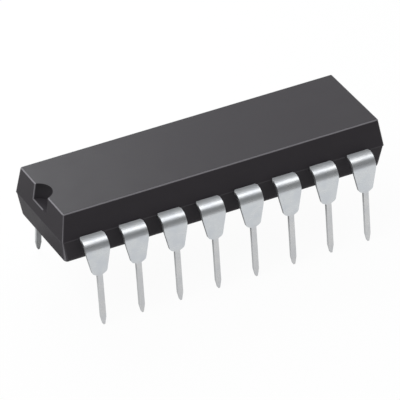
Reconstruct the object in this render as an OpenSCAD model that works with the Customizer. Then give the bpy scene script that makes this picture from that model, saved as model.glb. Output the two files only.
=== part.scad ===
/* [Package] */
// Distance between neighbouring leads of a row
lead_pitch = 2.54; // [2.4:0.02:2.7]
// Length of the body beyond the middle of each end lead
end_overhang = 1.86; // [1.4:0.02:2.4]
// Width of the body at the parting line
body_w = 6.35; // [6:0.05:6.6]
// Height of the body above the middle of the leads
upper_h = 1.8; // [1.5:0.05:2.2]
// Depth of the body below the middle of the leads
lower_h = 1.7; // [1.4:0.05:2.2]
// Draft of the moulded sides above the parting line, in degrees
upper_draft = 8.5; // [4:0.5:11]
// Draft of the moulded sides below the parting line, in degrees
lower_draft = 7; // [4:0.5:11]
// Radius along the top edges
top_edge_r = 0.1; // [0.05:0.01:0.2]
// Radius along the bottom edges
bottom_edge_r = 0.42; // [0.1:0.01:0.6]
// Radius of the upright corners from the top to the parting line
corner_r = 0.12; // [0.05:0.01:0.3]
// Radius of the upright corners at the bottom
bottom_corner_r = 0.36; // [0.2:0.02:0.6]
// How far the lower half sits back from the upper one at the parting line
parting_setback = 0.03; // [0.01:0.01:0.06]

/* [Notch] */
// Radius of the half-round notch that marks the first lead
notch_r = 0.9; // [0.6:0.02:1.2]
// Depth of the notch below the top
notch_depth = 1.05; // [0.6:0.05:1.2]
// Distance of the notch axis from the end of the body
notch_inset = 0.02; // [0:0.02:0.4]

/* [Ejector marks] */
// Radius of the two round ejector marks on the underside
ejector_r = 0.8; // [0.5:0.05:1.2]
// Depth of the ejector marks
ejector_depth = 0.06; // [0.03:0.01:0.15]
// Distance of each mark from the end of the body
ejector_inset = 4.2; // [3:0.1:6]

/* [Leads] */
// Thickness of the lead frame sheet
lead_t = 0.2; // [0.15:0.01:0.3]
// Width of the shoulder of a lead where it leaves the body
shoulder_w = 1.4; // [1.3:0.02:1.6]
// How far the flat of each shoulder stands out of the body before the bend
shoulder_out = 0.15; // [0.1:0.01:0.6]
// Width of the blade, to which the shoulder widens at the bend
blade_w = 1.54; // [1.4:0.02:1.8]
// Inner radius of the bend
bend_r = 0.6; // [0.3:0.05:0.8]
// Outward slant of the blades, in degrees
splay = 5; // [1:0.5:8]
// Depth below the middle of the leads at which the blade starts to narrow
taper_start = 0.65; // [0.5:0.05:0.9]
// Radius at which its sides turn into the taper
taper_r = 2; // [1:0.1:3]
// Depth of the waist, where the blade becomes the pin
waist_depth = 2.15; // [1.8:0.05:2.6]
// Width of the blade at the waist
waist_w = 0.94; // [0.8:0.02:1.2]
// Rise of the waist from the pin to the side of the blade
waist_rise = 0.15; // [0.05:0.05:0.3]
// Radius of the corners of the waist
waist_r = 0.25; // [0.1:0.01:0.3]
// Width of the pin
pin_w = 0.34; // [0.3:0.02:0.5]
// Depth of the pin tips below the middle of the leads
tip_depth = 5.5; // [4.8:0.05:6]
// Length of the narrowing tip
tip_l = 0.5; // [0.3:0.05:1]
// Width of the blunt end of the tip
tip_w = 0.12; // [0.12:0.01:0.25]
// Radius of the corners of the tip
tip_r = 0.04; // [0.02:0.01:0.05]

/* [Lead frame inside] */
// How far the full shoulder reaches into the body
shoulder_seat = 0.3; // [0.15:0.05:0.5]
// Width of the anchor that holds a lead in the body
anchor_w = 1.1; // [0.9:0.02:1.3]
// Length of the anchor beyond the shoulder
anchor_l = 0.65; // [0.5:0.05:0.8]
// Radius of the hole that the moulding grips
lock_hole_r = 0.18; // [0.1:0.01:0.22]
// Distance of the middle of that hole from the shoulder
lock_hole_inset = 0.22; // [0.15:0.01:0.3]
// Width of the fingers that lead to the die
finger_w = 0.3; // [0.24:0.01:0.34]
// Gap between the fingertips and the paddle
finger_gap = 0.3; // [0.2:0.02:0.4]
// Length of the paddle
paddle_l = 4.4; // [3.8:0.1:5]
// Width of the paddle
paddle_w = 2.5; // [2.3:0.05:2.6]
// How far the paddle is set down below the leads
downset = 0.25; // [0.15:0.01:0.35]
// Width of the tie bars
tie_bar_w = 0.3; // [0.2:0.02:0.36]
// Distance of the slope of each tie bar from the paddle
tie_slope_gap = 0.3; // [0.2:0.05:0.5]
// Length of the slope of each tie bar
tie_slope_l = 0.45; // [0.3:0.05:0.7]
// How far the tie bar at the notch end stops short of the end of the body
tie_bar_short = 0.9; // [0.5:0.05:1.5]

/* [Die] */
// Length of the die
die_l = 2.4; // [2:0.05:3]
// Width of the die
die_w = 1.8; // [1.5:0.05:2]
// Thickness of the die
die_t = 0.36; // [0.28:0.01:0.4]
// Thickness of the adhesive under the die
attach_t = 0.03; // [0.02:0.005:0.05]
// How far the adhesive reaches past the die
attach_margin = 0.08; // [0.02:0.01:0.15]
// Distance of the bond pads from the edge of the die
pad_inset = 0.12; // [0.08:0.01:0.2]

/* [Bond wires] */
// Diameter of the wire
wire_d = 0.03; // [0.02:0.002:0.04]
// Diameter of the ball at the die
ball_d = 0.08; // [0.06:0.005:0.1]
// Height of the ball at the die
ball_h = 0.02; // [0.015:0.005:0.03]
// Height of the wire loop above the die
loop_h = 0.2; // [0.15:0.01:0.3]
// Radius of the bend at the top of the loop
loop_r = 0.06; // [0.045:0.005:0.09]
// Distance of the wire's end from the fingertip
stitch_inset = 0.25; // [0.15:0.01:0.35]

/* [Hidden] */
leads_per_row = 8;
lead_total = 2 * leads_per_row;
$fn = 64;
epoxy_colour = [0.19, 0.19, 0.2];
tin_colour = [0.77, 0.79, 0.81];
frame_colour = [0.72, 0.5, 0.34];
adhesive_colour = [0.62, 0.63, 0.64];
silicon_colour = [0.32, 0.35, 0.43];
gold_colour = [0.93, 0.75, 0.32];
// How far a cut reaches past what it cuts, and a finger and a wire past what they end on
beyond = 1;
finger_overlap = 0.15;
wire_overlap = 0.08;
// Flat steps in a rounded corner of an outline, and degrees between those of an upright corner
arc_steps = 6;
corner_step = 22.5;
// Sides of the bond wires, and the step in degrees to which their slope is rounded
wire_sides = 24;
slope_step = 0.001;
body_l = (leads_per_row - 1) * lead_pitch + 2 * end_overhang;
anchor_y = body_w / 2 - shoulder_seat - anchor_l;
bend_mid_r = bend_r + lead_t / 2;
bend_y = body_w / 2 + shoulder_out;
// Distance between the two rows, from the middle of the sheet to the middle of the sheet
row_spacing = 2 * (bend_y + bend_mid_r);
frame_top = lead_t / 2;
paddle_top = frame_top - downset;
die_top = paddle_top + attach_t + die_t;
// Shares of the half side of paddle and die at which the fingers and pads lie,
// for the four leads from the middle of a row to its end
side_share = [0.27, 0.74, 0.8, 0.36];

function unit(v) = v / norm(v);
function ends_on_long_side(k) = k < 2;
function lead_x(k) = (k + 0.5) * lead_pitch;

// Where the finger of lead k ends, in the quarter of the frame with x and y above 0
function fingertip(k) = ends_on_long_side(k)
  ? [side_share[k] * paddle_l / 2, paddle_w / 2 + finger_gap]
  : [paddle_l / 2 + finger_gap, side_share[k] * paddle_w / 2];

// The middle line of the finger of lead k, from its tip back into the anchor
function finger_path(k) = let (tip = fingertip(k), root = [lead_x(k), anchor_y])
  ends_on_long_side(k)
  ? [tip, root, root + [0, finger_overlap]]
  : [tip, [root[0] - (root[1] - tip[1]), tip[1]], root, root + [0, finger_overlap]];

function bond_pad(k) = ends_on_long_side(k)
  ? [side_share[k] * die_l / 2, die_w / 2 - pad_inset]
  : [die_l / 2 - pad_inset, side_share[k] * die_w / 2];

function stitch(k) = let (path = finger_path(k))
  path[0] + stitch_inset * unit(path[1] - path[0]);

// One side of a line of width w through the points p, mitred at its corners
function edge_points(p, w, side) = [
  for (i = [0:len(p) - 1])
    let (
      into = unit(i == 0 ? p[1] - p[0] : p[i] - p[i - 1]),
      out = unit(i == len(p) - 1 ? into : p[i + 1] - p[i]),
      middle = unit(into + out)
    )
    p[i] + side * w / 2 / (middle * into) * [-middle[1], middle[0]]
];

function backwards(p) = [for (i = [len(p) - 1:-1:0]) p[i]];

// An outline from the points of its right half, listed from the top down
function both_sides(right) = concat(right, [for (c = backwards(right)) [-c[0], c[1]]]);

module strip_outline(p, w) {
  polygon(concat(edge_points(p, w, 1), backwards(edge_points(p, w, -1))));
}

// The points of an arc of radius r that rounds a convex corner b between a and c
function corner_arc(a, b, c, r) = let (
    to_a = unit(a - b),
    to_c = unit(c - b),
    half = acos(to_a * to_c) / 2,
    sweep = 180 - 2 * half,
    centre = b + unit(to_a + to_c) * r / sin(half),
    first = b + to_a * r / tan(half) - centre,
    last = b + to_c * r / tan(half) - centre
  )
  [for (i = [0:arc_steps])
    centre + (sin(sweep * (1 - i / arc_steps)) * first + sin(sweep * i / arc_steps) * last) / sin(sweep)];

// A polygon whose corner i is rounded to radius r[i], or left sharp where that is 0
module rounded_outline(p, r) {
  n = len(p);
  polygon([
    for (i = [0:n - 1])
      each r[i] > 0 ? corner_arc(p[(i + n - 1) % n], p[i], p[(i + 1) % n], r[i]) : [p[i]]
  ]);
}

// How far the body reaches from its middle in a direction turned from +X, at a height where its
// outline is set in from the parting line and has upright corners of radius r
function reach(turn, inset, r) =
  abs(cos(turn)) * (body_l / 2 - inset - r) + abs(sin(turn)) * (body_w / 2 - inset - r) + r;

// The side of the body that faces in that direction, from top to bottom
function drafted_side(turn) = [
  [reach(turn, upper_h * tan(upper_draft), corner_r), upper_h],
  [reach(turn, 0, corner_r), 0],
  [reach(turn, parting_setback, corner_r), 0],
  [reach(turn, parting_setback + lower_h * tan(lower_draft), bottom_corner_r), -lower_h]
];

// The view of the body across that direction
module body_section(turn) {
  radii = [top_edge_r, 0, 0, bottom_edge_r];
  rounded_outline(both_sides(drafted_side(turn)), concat(radii, backwards(radii)));
}

// A section drawn in x and z, carried along y to both sides
module along_y(length) {
  rotate([90, 0, 0]) linear_extrude(length, center = true) children();
}

// The sides and ends, and between them the narrow flats that round the upright corners
module body_block() {
  intersection_for(turn = [0:corner_step:180 - corner_step])
    rotate([0, 0, turn]) along_y(body_l + body_w) body_section(turn);
}

// Lifts what is drawn about the middle of the leads, so that the pin tips stand at z = 0
module on_tips() {
  translate([0, 0, tip_depth]) children();
}

module body() {
  color(epoxy_colour) on_tips() difference() {
    body_block();
    translate([notch_inset - body_l / 2, 0, upper_h - notch_depth])
      cylinder(r = notch_r, h = notch_depth + beyond);
    for (side = [-1, 1]) {
      translate([side * (body_l / 2 - ejector_inset), 0, -lower_h - beyond])
        cylinder(r = ejector_r, h = ejector_depth + beyond);
    }
    for (n = [1:lead_total]) placed(n) lead_inside(place_from_middle(n));
    paddle_solid();
    attach_solid();
    die_solid();
    all_wires();
  }
}

// Leads are numbered along the front row from the notch, then back along the other row
function place_in_row(n) = n <= leads_per_row ? n - 1 : lead_total - n;
function place_from_middle(n) = abs(place_in_row(n) - (leads_per_row - 1) / 2) - 0.5;

// Puts what is drawn in the quarter with x and y above 0 where lead n is
module placed(n) {
  left = place_in_row(n) < leads_per_row / 2;
  front = n <= leads_per_row;
  mirror([left ? 1 : 0, 0, 0]) mirror([0, front ? 1 : 0, 0]) children();
}

// The part of a lead that lies flat: shoulder, anchor with its lock hole, and finger
module lead_inside(k) {
  translate([0, 0, -lead_t / 2]) linear_extrude(lead_t) difference() {
    union() {
      translate([lead_x(k), body_w / 2]) polygon(both_sides([
        [blade_w / 2, shoulder_out],
        [shoulder_w / 2, 0],
        [shoulder_w / 2, -shoulder_seat]
      ]));
      translate([lead_x(k) - anchor_w / 2, anchor_y])
        square([anchor_w, anchor_l]);
      strip_outline(finger_path(k), finger_w);
    }
    translate([lead_x(k), anchor_y + anchor_l - lock_hole_inset]) circle(lock_hole_r);
  }
}

// The section of a lead beyond the flat part: the bend and the slanted blade
module bend_section() {
  blade_l = tip_depth + beyond;
  translate([bend_y, -bend_mid_r]) {
    intersection() {
      difference() {
        circle(bend_r + lead_t);
        circle(bend_r);
      }
      polygon(2 * (bend_r + lead_t) * [[0, 0], [0, 1], [1, 1], [cos(splay), sin(splay)]]);
    }
    rotate(splay) translate([bend_r, -blade_l]) square([lead_t, blade_l]);
  }
}

// The front view of a lead, from the bend to the tip
module blade_outline() {
  right = [
    [blade_w / 2, lead_t + beyond],
    [blade_w / 2, -taper_start],
    [waist_w / 2, -waist_depth + waist_rise],
    [pin_w / 2, -waist_depth],
    [pin_w / 2, -tip_depth + tip_l],
    [tip_w / 2, -tip_depth]
  ];
  radii = [0, taper_r, waist_r, 0, 0, tip_r];
  rounded_outline(both_sides(right), concat(radii, backwards(radii)));
}

module lead_solid(k) {
  lead_inside(k);
  translate([lead_x(k), 0, 0]) intersection() {
    rotate([90, 0, 90]) linear_extrude(blade_w, center = true) bend_section();
    along_y(row_spacing + tip_depth) blade_outline();
  }
}

module lead(n) {
  color(tin_colour) on_tips() placed(n) lead_solid(place_from_middle(n));
}

// The tie bar in x and z, from the paddle to the given end
function tie_bar_path(end_x) = let (slope_x = paddle_l / 2 + tie_slope_gap)
  [[0, -downset], [slope_x, -downset], [slope_x + tie_slope_l, 0], [end_x, 0]];

module paddle_solid() {
  translate([-paddle_l / 2, -paddle_w / 2, paddle_top - lead_t]) cube([paddle_l, paddle_w, lead_t]);
  along_y(tie_bar_w) strip_outline(tie_bar_path(body_l / 2), lead_t);
  mirror([1, 0, 0]) along_y(tie_bar_w) strip_outline(tie_bar_path(body_l / 2 - tie_bar_short), lead_t);
}

module die_paddle() {
  color(frame_colour) on_tips() paddle_solid();
}

module attach_solid() {
  size = [die_l + 2 * attach_margin, die_w + 2 * attach_margin, attach_t];
  translate([-size[0] / 2, -size[1] / 2, paddle_top]) cube(size);
}

module die_attach() {
  color(adhesive_colour) on_tips() attach_solid();
}

module die_solid() {
  translate([-die_l / 2, -die_w / 2, paddle_top + attach_t]) cube([die_l, die_w, die_t]);
}

module die() {
  color(silicon_colour) on_tips() die_solid();
}

// One wire drawn in x and z, from its ball at x = 0 down to the finger at x = reach
module wire_solid(reach) {
  rise_top = die_top + loop_h - loop_r;
  run = [reach - loop_r, frame_top - rise_top];
  slope = slope_step * round((asin(loop_r / norm(run)) + atan2(-run[1], run[0])) / slope_step);
  difference() {
    union() {
      translate([0, 0, die_top]) cylinder(d = ball_d, h = ball_h);
      translate([0, 0, die_top + ball_h]) cylinder(d = wire_d, h = rise_top - die_top - ball_h);
      translate([loop_r, 0, rise_top]) rotate([90, 0, 0]) rotate([0, 0, 90 - slope]) {
        rotate_extrude(angle = 90 + slope) translate([loop_r, 0]) circle(d = wire_d);
        translate([loop_r, 0, 0]) rotate([90, 0, 0]) cylinder(d = wire_d, h = norm(run) + wire_overlap);
      }
    }
    translate([reach - beyond, -beyond / 2, frame_top - beyond]) cube([2 * beyond, beyond, beyond]);
  }
}

module all_wires() {
  for (n = [1:lead_total]) {
    k = place_from_middle(n);
    run = stitch(k) - bond_pad(k);
    placed(n) translate(bond_pad(k)) rotate([0, 0, atan2(run[1], run[0])])
      wire_solid(norm(run), $fn = wire_sides);
  }
}

module bond_wires() {
  color(gold_colour) on_tips() all_wires();
}

body();
for (n = [1:lead_total]) lead(n);
die_paddle();
die_attach();
die();
bond_wires();
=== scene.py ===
import math

import bpy
import numpy as np
from mathutils import Matrix, Vector


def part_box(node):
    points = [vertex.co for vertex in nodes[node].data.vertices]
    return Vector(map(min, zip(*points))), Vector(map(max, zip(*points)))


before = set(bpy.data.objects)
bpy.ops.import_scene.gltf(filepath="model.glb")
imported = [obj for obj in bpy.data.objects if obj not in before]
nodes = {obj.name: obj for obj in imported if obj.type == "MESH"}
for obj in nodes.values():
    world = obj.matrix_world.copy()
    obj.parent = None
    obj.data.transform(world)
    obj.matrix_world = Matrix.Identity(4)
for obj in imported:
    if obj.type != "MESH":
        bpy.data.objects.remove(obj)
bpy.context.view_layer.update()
scene = bpy.context.scene
mm = 0.001
leadHeight = 5.5  # mm from the pin tips up to the middle of the sheet where it leaves the body
print("frame loaded:", len(nodes), "nodes")


# a socket that does sums: an expression on it adds the Math nodes it needs
class Wire:
    def __init__(self, shade, socket):
        self.shade, self.socket = shade, socket

    def maths(self, operation, *values):
        return self.shade.node("ShaderNodeMath", {"operation": operation}, dict(enumerate(values)))

    def __add__(self, other):
        return self.maths("ADD", self, other)

    def __radd__(self, other):
        return self.maths("ADD", other, self)

    def __sub__(self, other):
        return self.maths("SUBTRACT", self, other)

    def __rsub__(self, other):
        return self.maths("SUBTRACT", other, self)

    def __mul__(self, other):
        return self.maths("MULTIPLY", self, other)

    def __rmul__(self, other):
        return self.maths("MULTIPLY", other, self)

    def __truediv__(self, other):
        return self.maths("DIVIDE", self, other)

    def __rtruediv__(self, other):
        return self.maths("DIVIDE", other, self)

    def __abs__(self):
        return self.maths("ABSOLUTE", self)

    def most(self, other):
        return self.maths("MAXIMUM", self, other)

    # the straight distance of a point that lies this far one way and the other far across
    def reach(self, other):
        return self.maths("POWER", self * self + other * other, 0.5)

    # 0 below low, 1 above high and smooth between
    def rise(self, low, high):
        return self.shade.node("ShaderNodeMapRange", {"interpolation_type": "SMOOTHSTEP"},
                               {"Value": self, "From Min": low, "From Max": high})

    # 1 within half a width of the middle, fading over the soft distance
    def near(self, middle, half, soft):
        return 1 - abs(self - middle).rise(half, half + soft)


# the nodes of a material or of the world; node() makes any of them: settings first, then its sockets
class Shade:
    def __init__(self, owner):
        owner.use_nodes = True
        self.tree = owner.node_tree
        self.tree.nodes.clear()
        self.made = {}

    def node(self, kind, settings=None, sockets=None, output=0):
        node = self.tree.nodes.new(kind)
        for name, value in (settings or {}).items():
            if name == "stops":
                self.setStops(node.color_ramp, value)
            else:
                setattr(node, name, value)
        for name, value in (sockets or {}).items():
            if isinstance(value, Wire):
                self.tree.links.new(value.socket, node.inputs[name])
            else:
                node.inputs[name].default_value = value
        return Wire(self, node.outputs[output]) if len(node.outputs) else node

    def setStops(self, ramp, stops):
        while len(ramp.elements) < len(stops):
            ramp.elements.new(1.0)
        for element, (place, colour) in zip(ramp.elements, stops):
            element.position, element.color = place, colour

    def place(self):
        if "place" not in self.made:
            self.made["place"] = self.node("ShaderNodeTexCoord", output="Object")
        return self.made["place"]

    # x, y and z of the point in millimetres
    def axes(self):
        if "axes" not in self.made:
            split = self.node("ShaderNodeSeparateXYZ", sockets={0: self.place()})
            self.made["axes"] = [Wire(self, s) / mm for s in split.socket.node.outputs]
        return self.made["axes"]

    # the size of each part of the surface's own direction, without its sign
    def facing(self):
        if "facing" not in self.made:
            direction = self.node("ShaderNodeTexCoord", output="Normal")
            split = self.node("ShaderNodeSeparateXYZ", sockets={0: direction})
            self.made["facing"] = [abs(Wire(self, s)) for s in split.socket.node.outputs]
        return self.made["facing"]

    # cloudy noise about 0.5, with grains of the given size in mm, one size or one for each axis
    def noise(self, grain, detail=3.0, roughness=0.55, shift=0.0):
        sizes = grain if isinstance(grain, (tuple, list)) else (grain,) * 3
        where = self.node("ShaderNodeMapping", sockets={
            "Vector": self.place(),
            "Location": (shift, shift, shift),
            "Scale": tuple(1 / (size * mm) for size in sizes),
        })
        return self.node("ShaderNodeTexNoise", {"noise_dimensions": "3D"},
                         {"Vector": where, "Scale": 1.0, "Detail": detail, "Roughness": roughness})

    # the low colour where the factor is 0, and the high one where it is 1: the Mix node has its
    # colours at inputs 6 and 7 and at output 2
    def blend(self, factor, low, high):
        return self.node("ShaderNodeMix", {"data_type": "RGBA"}, {0: factor, 6: low, 7: high}, output=2)

    # a bump as deep as the given mm, laid over another one if there is one
    def bump(self, height, depth, normal=None):
        sockets = {"Strength": 1.0, "Distance": depth * mm, "Height": height}
        if normal is not None:
            sockets["Normal"] = normal
        return self.node("ShaderNodeBump", None, sockets)

    def surface(self, sockets):
        shader = self.node("ShaderNodeBsdfPrincipled", None, sockets)
        self.node("ShaderNodeOutputMaterial", None, {"Surface": shader})


def newMaterial(name):
    material = bpy.data.materials.new(name)
    return material, Shade(material)


def dress(names, material):
    for name in names:
        nodes[name].data.materials.clear()
        nodes[name].data.materials.append(material)


def grey(level):
    return (level, level, level, 1.0)


# where the photograph was taken from, found from the corners of the body and the tips
photoCamera = dict(
    azimuth=26.605, elevation=33.863, roll=-1.446,  # degrees
    distance=255.3, aimRight=-0.0635, aimUp=-1.898, clipStart=10, sensorWidth=36.0,  # mm
    focalPixels=4281.8, imagePixels=400,
)


# the camera aims a little below the middle of the body
def makeCamera(c):
    turn, lift, roll = (math.radians(c[key]) for key in ("azimuth", "elevation", "roll"))
    back = Vector((-math.sin(turn) * math.cos(lift), -math.cos(turn) * math.cos(lift), math.sin(lift)))
    level = Vector((math.cos(turn), -math.sin(turn), 0))
    upright = back.cross(level)
    right = math.cos(roll) * level + math.sin(roll) * upright
    up = -math.sin(roll) * level + math.cos(roll) * upright
    aim = c["aimRight"] * right + c["aimUp"] * up + Vector((0, 0, leadHeight))
    place = (aim + c["distance"] * back) * mm
    camera = bpy.data.objects.new("photoCamera", bpy.data.cameras.new("photoCamera"))
    camera.data.sensor_width = c["sensorWidth"]
    camera.data.lens = c["focalPixels"] / c["imagePixels"] * c["sensorWidth"]
    camera.data.clip_start = c["clipStart"] * mm
    rows = [(*row, p) for row, p in zip(zip(right, up, back), place)]
    camera.matrix_world = Matrix(rows + [(0, 0, 0, 1)])
    scene.collection.objects.link(camera)
    scene.camera = camera


makeCamera(photoCamera)
print("camera placed")


# lamps: direction towards the lamp, distance and sizes in mm, brightness of its face, and its tint
lamps = {
    "bendStrip": dict(towards=(0.37, -0.09, 0.92), distance=330, size=(220, 84), brightness=1.2,
                      tint=(1.0, 0.985, 0.965)),
    "leftTop": dict(towards=(-0.55, -0.10, 0.83), distance=300, size=(200, 200), brightness=3.2,
                    tint=(0.985, 1.0, 1.0)),
    "backPanel": dict(towards=(0.366, 0.745, 0.558), distance=300, size=(260, 170), brightness=1.03,
                      tint=(0.94, 1.0, 1.01)),
    "leftSheen": dict(towards=(-0.12, 0.68, 0.70), distance=44, size=(26, 24), brightness=4.0,
                      tint=(0.96, 1.0, 1.0)),
}


def makeLamp(name, lamp):
    data = bpy.data.lights.new(name, "AREA")
    data.shape = "RECTANGLE"
    data.size, data.size_y = (side * mm for side in lamp["size"])
    data.energy = lamp["brightness"] * math.pi * data.size * data.size_y
    data.color = lamp["tint"]
    towards = Vector(lamp["towards"]).normalized()
    light = bpy.data.objects.new(name, data)
    light.location = towards * lamp["distance"] * mm
    light.rotation_euler = towards.to_track_quat("Z", "Y").to_euler()
    light.visible_camera = False
    scene.collection.objects.link(light)


# the world and the floor, with lengths in mm
stage = dict(
    worldLight=0.42, floorHalf=1500, floorDrop=0.01, floorColour=0.86,
    whiteShare=0.95, shineShare=0.60,  # how much of the floor is white to the camera and to a shine
    # a painted shadow and a painted dark patch on the floor, which only a shine sees
    shadeHalf=(14.5, 1.9), shadeBack=2.4, shadeSoft=1.6,  # a strip under the back half, dark to a shine
    patchMiddle=(-21.0, 8.5), patchNear=5.0, patchFar=9.5,  # a patch behind the notch end, likewise
)


# for each kind of ray, 1 where the ray is of that kind and 0 where it is not
def raysOf(shade, *kinds):
    outs = shade.node("ShaderNodeLightPath").socket.node.outputs
    return [Wire(shade, outs[f"Is {kind} Ray"]) for kind in kinds]


# the world lights the object dimly, and is white to the camera, in a shine and through glass
def makeWorld():
    world = bpy.data.worlds.new("studio")
    scene.world = world
    shade = Shade(world)
    camera, glossy, through = raysOf(shade, "Camera", "Glossy", "Transmission")
    seen = camera.most(glossy).most(through)
    soft = shade.node("ShaderNodeBackground", None, {"Color": grey(1.0), "Strength": stage["worldLight"]})
    white = shade.node("ShaderNodeBackground", None, {"Color": grey(1.0), "Strength": 1.0})
    both = shade.node("ShaderNodeMixShader", None, {0: seen, 1: soft, 2: white})
    shade.node("ShaderNodeOutputWorld", None, {"Surface": both})


# points is a grid (rows, columns, 3) in mm; each of its cells becomes one face
def surfaceFromGrid(name, points):
    rows, columns = points.shape[:2]
    index = np.arange(rows * columns).reshape(rows, columns)
    faces = np.stack([index[:-1, :-1], index[:-1, 1:], index[1:, 1:], index[1:, :-1]], axis=-1)
    mesh = bpy.data.meshes.new(name)
    mesh.from_pydata(points.reshape(-1, 3) * mm, [], faces.reshape(-1, 4).tolist())
    mesh.update()
    piece = bpy.data.objects.new(name, mesh)
    scene.collection.objects.link(piece)
    return piece


# The floor keeps the shadow: part of it is plain paint, and part is white, more to the camera than
# to a shine. A shine sees that white part dark under the back half of the body, a painted shadow,
# and on a round patch behind the notch end, a painted dark patch that darkens what the end mirrors.
# From below the floor is clear.
def floorMaterial():
    s = stage
    material, shade = newMaterial("paleFloor")
    camera, glossy, through = raysOf(shade, "Camera", "Glossy", "Transmission")
    x, y = shade.axes()[:2]
    halfLength, halfWidth = s["shadeHalf"]
    strip = x.near(0, halfLength, s["shadeSoft"]) * y.near(s["shadeBack"], halfWidth, s["shadeSoft"])
    patchX, patchY = s["patchMiddle"]
    patch = 1 - (x - patchX).reach(y - patchY).rise(s["patchNear"], s["patchFar"])
    share = camera.most(through) * s["whiteShare"] + glossy * s["shineShare"]
    # painted shadow under the body and a painted dark patch behind the notch end, seen only by a shine
    glow = shade.blend(glossy * strip.most(patch), grey(1.0), grey(0.0))
    paint = shade.node("ShaderNodeBsdfDiffuse", None, {"Color": grey(s["floorColour"])})
    white = shade.node("ShaderNodeEmission", None, {"Color": glow, "Strength": 1.0})
    top = shade.node("ShaderNodeMixShader", None, {0: share, 1: paint, 2: white})
    clear = shade.node("ShaderNodeBsdfTransparent")
    under = shade.node("ShaderNodeNewGeometry", output="Backfacing")
    both = shade.node("ShaderNodeMixShader", None, {0: under, 1: top, 2: clear})
    shade.node("ShaderNodeOutputMaterial", None, {"Surface": both})
    return material


# the floor is a flat square, a hair under the level of the pin tips
def makeFloor():
    reach = np.array([-1.0, 1.0]) * stage["floorHalf"]
    x, y = np.meshgrid(reach, reach)
    floor = surfaceFromGrid("floor", np.stack([x, y, np.full_like(x, -stage["floorDrop"])], axis=-1))
    floor.data.materials.append(floorMaterial())


# a card in front of the set: the range of directions that it fills, in degrees round from +X and
# up from the floor, and its brightness at some heights as shares of that range
card = dict(
    radius=230, turnFrom=-150, turnTo=20, liftFrom=0, liftTo=58, steps=(40, 20),
    stops=[(0.0, 0.50), (0.2, 0.42), (0.45, 0.26), (0.7, 0.23), (0.88, 0.45), (1.0, 0.9)],
)


# the glow of the card follows its height, darkest where the outer side of each bend mirrors it
def cardMaterial():
    material, shade = newMaterial("frontCard")
    z = shade.axes()[2]
    lift = shade.node("ShaderNodeMath", {"operation": "ARCSINE"}, {0: z / card["radius"]})
    lowest, highest = math.radians(card["liftFrom"]), math.radians(card["liftTo"])
    stops = [(place, grey(level)) for place, level in card["stops"]]
    share = (lift - lowest) / (highest - lowest)
    ramp = shade.node("ShaderNodeValToRGB", {"stops": stops}, {"Fac": share})
    glow = shade.node("ShaderNodeEmission", None, {"Color": ramp, "Strength": 1.0})
    shade.node("ShaderNodeOutputMaterial", None, {"Surface": glow})
    return material


# The card is a part of a sphere round the object, and only a shine sees it. A point lies at the
# radius times (cosine of turn by cosine of lift, sine of turn by cosine of lift, sine of lift).
def makeCard():
    c = card
    turn = np.radians(np.linspace(c["turnFrom"], c["turnTo"], c["steps"][0]))
    lift = np.radians(np.linspace(c["liftFrom"], c["liftTo"], c["steps"][1]))
    turn, lift = np.meshgrid(turn, lift)
    points = np.stack([np.cos(turn) * np.cos(lift), np.sin(turn) * np.cos(lift), np.sin(lift)], axis=-1)
    piece = surfaceFromGrid("frontCard", c["radius"] * points)
    piece.data.materials.append(cardMaterial())
    for rays in ("camera", "diffuse", "shadow", "transmission", "volume_scatter"):
        setattr(piece, "visible_" + rays, False)


for lampName, lamp in lamps.items():
    makeLamp(lampName, lamp)
makeWorld()
makeFloor()
makeCard()
print("studio lit")


# the moulded block: matt filled epoxy with a fine spark-eroded grain, with lengths in mm
epoxy = dict(
    colour=(0.0196, 0.0160, 0.0204, 1), paleColour=(0.0237, 0.0198, 0.0245, 1),
    grain=0.035, grainDepth=0.0020, clouds=1.3, flow=(3.5, 0.5, 0.5),
    cloudShare=0.8, flowShare=0.35, grainShare=0.5, mottleSpan=(0.15, 0.85),
    roughness=0.50, mottleRough=0.06, grainRough=0.12, specular=0.22,
    # painted highlight: a pale colour painted on the rounded edges, the upright corners, the parting line
    # and the notch's edges, where they catch the light
    highlightColour=(0.26, 0.25, 0.27, 1), highlightGrain=0.6,
    endHighlight=0.80, sideHighlight=0.70, rimSpan=(0.20, 0.42), rimFade=0.1,  # the rounded edges of the top
    cornerHighlight=0.56, cornerSpan=(0.30, 0.46), cornerReach=(0.6, 0.5),  # the upright corners
    partingHighlight=0.12, partingHalf=0.03, partingSoft=0.04,  # the parting line
    notchHighlight=0.70, edgeHalf=0.035, edgeSoft=0.035,  # the edges of the notch
)
notch = dict(
    inset=0.02, radius=0.90, floorHeight=6.25, depth=1.05, endDraft=8.5, litFrom=(-0.48, -0.33),
    skin=(0.01, 0.02),  # the notch's colour fades between these distances from its faces
    # painted shade and light inside the notch: its walls are painted darker than the body, and paler
    # towards its floor, against the shade that gathers at the foot
    colour=(0.0165, 0.0150, 0.0172, 1), paintedFootLight=(0.0345, 0.0310, 0.0360, 1), roughness=0.35,
)


def nearEdge(distance):
    return distance.near(0, epoxy["edgeHalf"], epoxy["edgeSoft"])


# two masks of the notch: its inside, and the edges of it that catch the light, which are its
# back corner and most of its floor's edge
def notchMasks(shade, bodyEnd):
    edgeHalf = epoxy["edgeHalf"]
    thin, thick = notch["skin"]
    top = notch["floorHeight"] + notch["depth"]
    x, y, z = shade.axes()
    fromEnd = x - (z - leadHeight) * math.tan(math.radians(notch["endDraft"])) - bodyEnd
    fromWall = (x - (bodyEnd + notch["inset"])).reach(y) - notch["radius"]
    fromFloor = z - notch["floorHeight"]
    corner = nearEdge(fromWall) * fromFloor.rise(-edgeHalf, 0)
    floorEdge = nearEdge(fromFloor) * (1 - fromWall.rise(0, edgeHalf))
    lit = nearEdge(fromEnd) * corner.most(floorEdge) * y.rise(*notch["litFrom"])
    hollow = (1 - fromWall.rise(thin, thick)) * fromFloor.rise(-thick, -thin) * fromEnd.rise(thin, thick)
    return hollow * (1 - z.rise(top - thin, top)), lit


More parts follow.
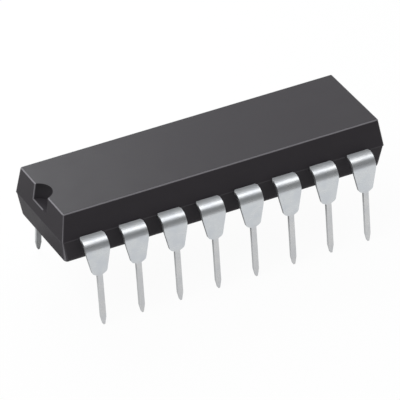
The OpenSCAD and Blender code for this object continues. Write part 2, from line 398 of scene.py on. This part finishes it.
def epoxyMaterial():
    p = epoxy
    material, shade = newMaterial("mouldedEpoxy")
    low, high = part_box("body")
    halfLength, halfWidth = high[0] / mm, high[1] / mm
    x, y, z = shade.axes()
    faceX, faceY, faceZ = shade.facing()
    grain = shade.noise(p["grain"], detail=4.0, roughness=0.6)
    clouds = shade.noise(p["clouds"], detail=2.0)
    flow = shade.noise(p["flow"], detail=2.0, shift=0.7)
    uneven = (clouds - 0.5) * p["cloudShare"] + (flow - 0.5) * p["flowShare"]
    mottle = (uneven + (grain - 0.5) * p["grainShare"] + 0.5).rise(*p["mottleSpan"])
    hollow, lit = notchMasks(shade, low[0] / mm)
    colour = shade.blend(mottle, p["colour"], p["paleColour"])
    # painted shade on the notch's walls, with painted light towards its floor
    fromFoot = (z - notch["floorHeight"]).rise(0, notch["depth"])
    colour = shade.blend(hollow, colour, shade.blend(fromFoot, notch["paintedFootLight"], notch["colour"]))
    # painted highlight: the rounded edges above the parting line are painted pale where they catch the
    # light, those of the ends most, those of the long sides less
    endRim = (faceX * faceZ).rise(*p["rimSpan"]) * p["endHighlight"]
    sideRim = (faceY * faceZ).rise(*p["rimSpan"]) * p["sideHighlight"]
    rim = (endRim + sideRim) * z.rise(leadHeight, leadHeight + p["rimFade"])
    # painted highlight on the upright corners beside the ends
    outer, inner = p["cornerReach"]
    besideEnd = abs(x).rise(halfLength - outer, halfLength - inner)
    besideSide = abs(y).rise(halfWidth - outer, halfWidth - inner)
    corner = (faceX * faceY).rise(*p["cornerSpan"]) * (besideEnd * besideSide) * p["cornerHighlight"]
    # a painted highlight line along the parting line
    partingLine = z.near(leadHeight, p["partingHalf"], p["partingSoft"]) * p["partingHighlight"]
    paintedHighlight = rim.most(corner).most(partingLine).most(lit * p["notchHighlight"])
    colour = shade.blend(paintedHighlight * ((grain - 0.5) * p["highlightGrain"] + 1), colour, p["highlightColour"])
    rough = p["roughness"] + (mottle - 0.5) * p["mottleRough"] + (grain - 0.5) * p["grainRough"]
    shade.surface({
        "Base Color": colour,
        "Roughness": rough + hollow * notch["roughness"],
        "Specular IOR Level": p["specular"],
        "Normal": shade.bump(grain, p["grainDepth"]),
    })
    return material


dress(["body"], epoxyMaterial())
print("body dressed")


# the leads: matt tin plate over rolled copper alloy, a little greyer on the pins than on the blades
tin = dict(
    colour=(0.650, 0.672, 0.690, 1), cloudColour=(0.612, 0.638, 0.670, 1),
    pinColour=(0.640, 0.644, 0.648, 1), pinCloudColour=(0.602, 0.611, 0.626, 1), pinTop=3.35, pinSoft=0.2,
    clouds=0.7, cloudSpan=(0.35, 0.65), streak=(0.9, 0.045, 0.045), grain=0.02,
    roughness=0.30, streakRough=0.16, cloudRough=0.08, streakDepth=0.0010, grainDepth=0.0008,
    cutColour=(0.60, 0.61, 0.62, 1), cutSpan=(0.55, 0.80), cutRoughness=0.42, cutGrainRough=0.10,
    halfSheet=0.1, dullFall=0.12, dullRoughness=0.22, dullMetal=0.35,  # the flat beside the moulding
)


def tinMaterial():
    p = tin
    material, shade = newMaterial("tinnedLead")
    z = shade.axes()[2]
    clouds = shade.noise(p["clouds"], detail=2.0)
    streak = shade.noise(p["streak"], detail=3.0, shift=0.3)
    grain = shade.noise(p["grain"], detail=2.0, shift=1.1)
    cloudy = clouds.rise(*p["cloudSpan"])
    blade = shade.blend(cloudy, p["colour"], p["cloudColour"])
    pin = shade.blend(cloudy, p["pinColour"], p["pinCloudColour"])
    plate = shade.blend(z.rise(p["pinTop"] - p["pinSoft"], p["pinTop"] + p["pinSoft"]), pin, blade)
    plateRough = p["roughness"] + (streak - 0.5) * p["streakRough"] + (clouds - 0.5) * p["cloudRough"]
    # the cut edges of the sheet face along the row
    cut = shade.facing()[0].rise(*p["cutSpan"])
    cutRough = p["cutRoughness"] + (grain - 0.5) * p["cutGrainRough"]
    # the flat beside the moulding is duller, from the cleaning of the moulded strip
    top = leadHeight + p["halfSheet"]
    dull = z.rise(top - p["dullFall"], top)
    streakBump = shade.bump(streak, p["streakDepth"])
    shade.surface({
        "Base Color": shade.blend(cut, plate, p["cutColour"]),
        "Metallic": 1 - dull * p["dullMetal"],
        "Roughness": plateRough * (1 - cut) + cutRough * cut + dull * p["dullRoughness"],
        "Normal": shade.bump(grain, p["grainDepth"], streakBump),
    })
    return material


leadNames = [name for name in nodes if name.startswith("lead_")]
dress(leadNames, tinMaterial())
print("leads dressed:", len(leadNames))


# what the moulding hides starts with the paddle, which is bare alloy
alloy = dict(
    colour=(0.60, 0.36, 0.22, 1), stainColour=(0.50, 0.29, 0.18, 1), stain=0.6, stainSpan=(0.35, 0.65),
    streak=(1.2, 0.04, 0.04), streakDepth=0.001, roughness=0.34, streakRough=0.2,
)


def alloyMaterial():
    p = alloy
    material, shade = newMaterial("leadFrameAlloy")
    streak = shade.noise(p["streak"], detail=3.0)
    stain = shade.noise(p["stain"], detail=2.0, shift=0.4)
    shade.surface({
        "Base Color": shade.blend(stain.rise(*p["stainSpan"]), p["colour"], p["stainColour"]),
        "Metallic": 1.0,
        "Roughness": p["roughness"] + (streak - 0.5) * p["streakRough"],
        "Normal": shade.bump(streak, p["streakDepth"]),
    })
    return material


# the adhesive under the die: dull paste with silver flakes
silver = dict(
    colour=(0.46, 0.47, 0.48, 1), darkColour=(0.33, 0.34, 0.35, 1), flake=0.015, flakeSpan=(0.40, 0.60),
    metal=0.6, metalSpan=(0.45, 0.60), flakeDepth=0.002, roughness=0.5, flakeRough=0.2,
)


def silverMaterial():
    p = silver
    material, shade = newMaterial("silverAdhesive")
    flake = shade.noise(p["flake"], detail=3.0, roughness=0.7)
    shade.surface({
        "Base Color": shade.blend(flake.rise(*p["flakeSpan"]), p["darkColour"], p["colour"]),
        "Metallic": flake.rise(*p["metalSpan"]) * p["metal"],
        "Roughness": p["roughness"] + (flake - 0.5) * p["flakeRough"],
        "Normal": shade.bump(flake, p["flakeDepth"]),
    })
    return material


# the die: polished silicon with a pattern of cells on its upper face
silicon = dict(
    colour=(0.10, 0.12, 0.18, 1), lineColour=(0.36, 0.34, 0.26, 1), roughness=0.18, lineRough=0.15,
    cell=0.16, cellSpread=0.6, lineSpan=(0.34, 0.42), upSpan=(0.80, 0.95), lineMetal=0.7, lineDepth=0.001,
)


def siliconMaterial():
    p = silicon
    material, shade = newMaterial("silicon")
    up = shade.facing()[2].rise(*p["upSpan"])
    cells = shade.node("ShaderNodeTexVoronoi", {"distance": "CHEBYCHEV", "feature": "F1"}, {
        "Vector": shade.place(),
        "Scale": 1 / (p["cell"] * mm),
        "Randomness": p["cellSpread"],
    })
    line = cells.rise(*p["lineSpan"]) * up
    shade.surface({
        "Base Color": shade.blend(line, p["colour"], p["lineColour"]),
        "Metallic": line * p["lineMetal"],
        "Roughness": p["roughness"] + line * p["lineRough"],
        "Normal": shade.bump(line, p["lineDepth"]),
    })
    return material


# the bond wires: drawn gold
gold = dict(
    colour=(0.90, 0.62, 0.22, 1), darkColour=(0.80, 0.52, 0.18, 1), grain=0.01, grainSpan=(0.35, 0.65),
    grainDepth=0.0003, roughness=0.16, grainRough=0.1,
)


def goldMaterial():
    p = gold
    material, shade = newMaterial("goldWire")
    drawn = shade.noise(p["grain"], detail=2.0)
    shade.surface({
        "Base Color": shade.blend(drawn.rise(*p["grainSpan"]), p["colour"], p["darkColour"]),
        "Metallic": 1.0,
        "Roughness": p["roughness"] + (drawn - 0.5) * p["grainRough"],
        "Normal": shade.bump(drawn, p["grainDepth"]),
    })
    return material


dress(["die_paddle"], alloyMaterial())
dress(["die_attach"], silverMaterial())
dress(["die"], siliconMaterial())
dress(["bond_wires"], goldMaterial())
print("inside dressed")

scene.view_settings.view_transform = "Standard"
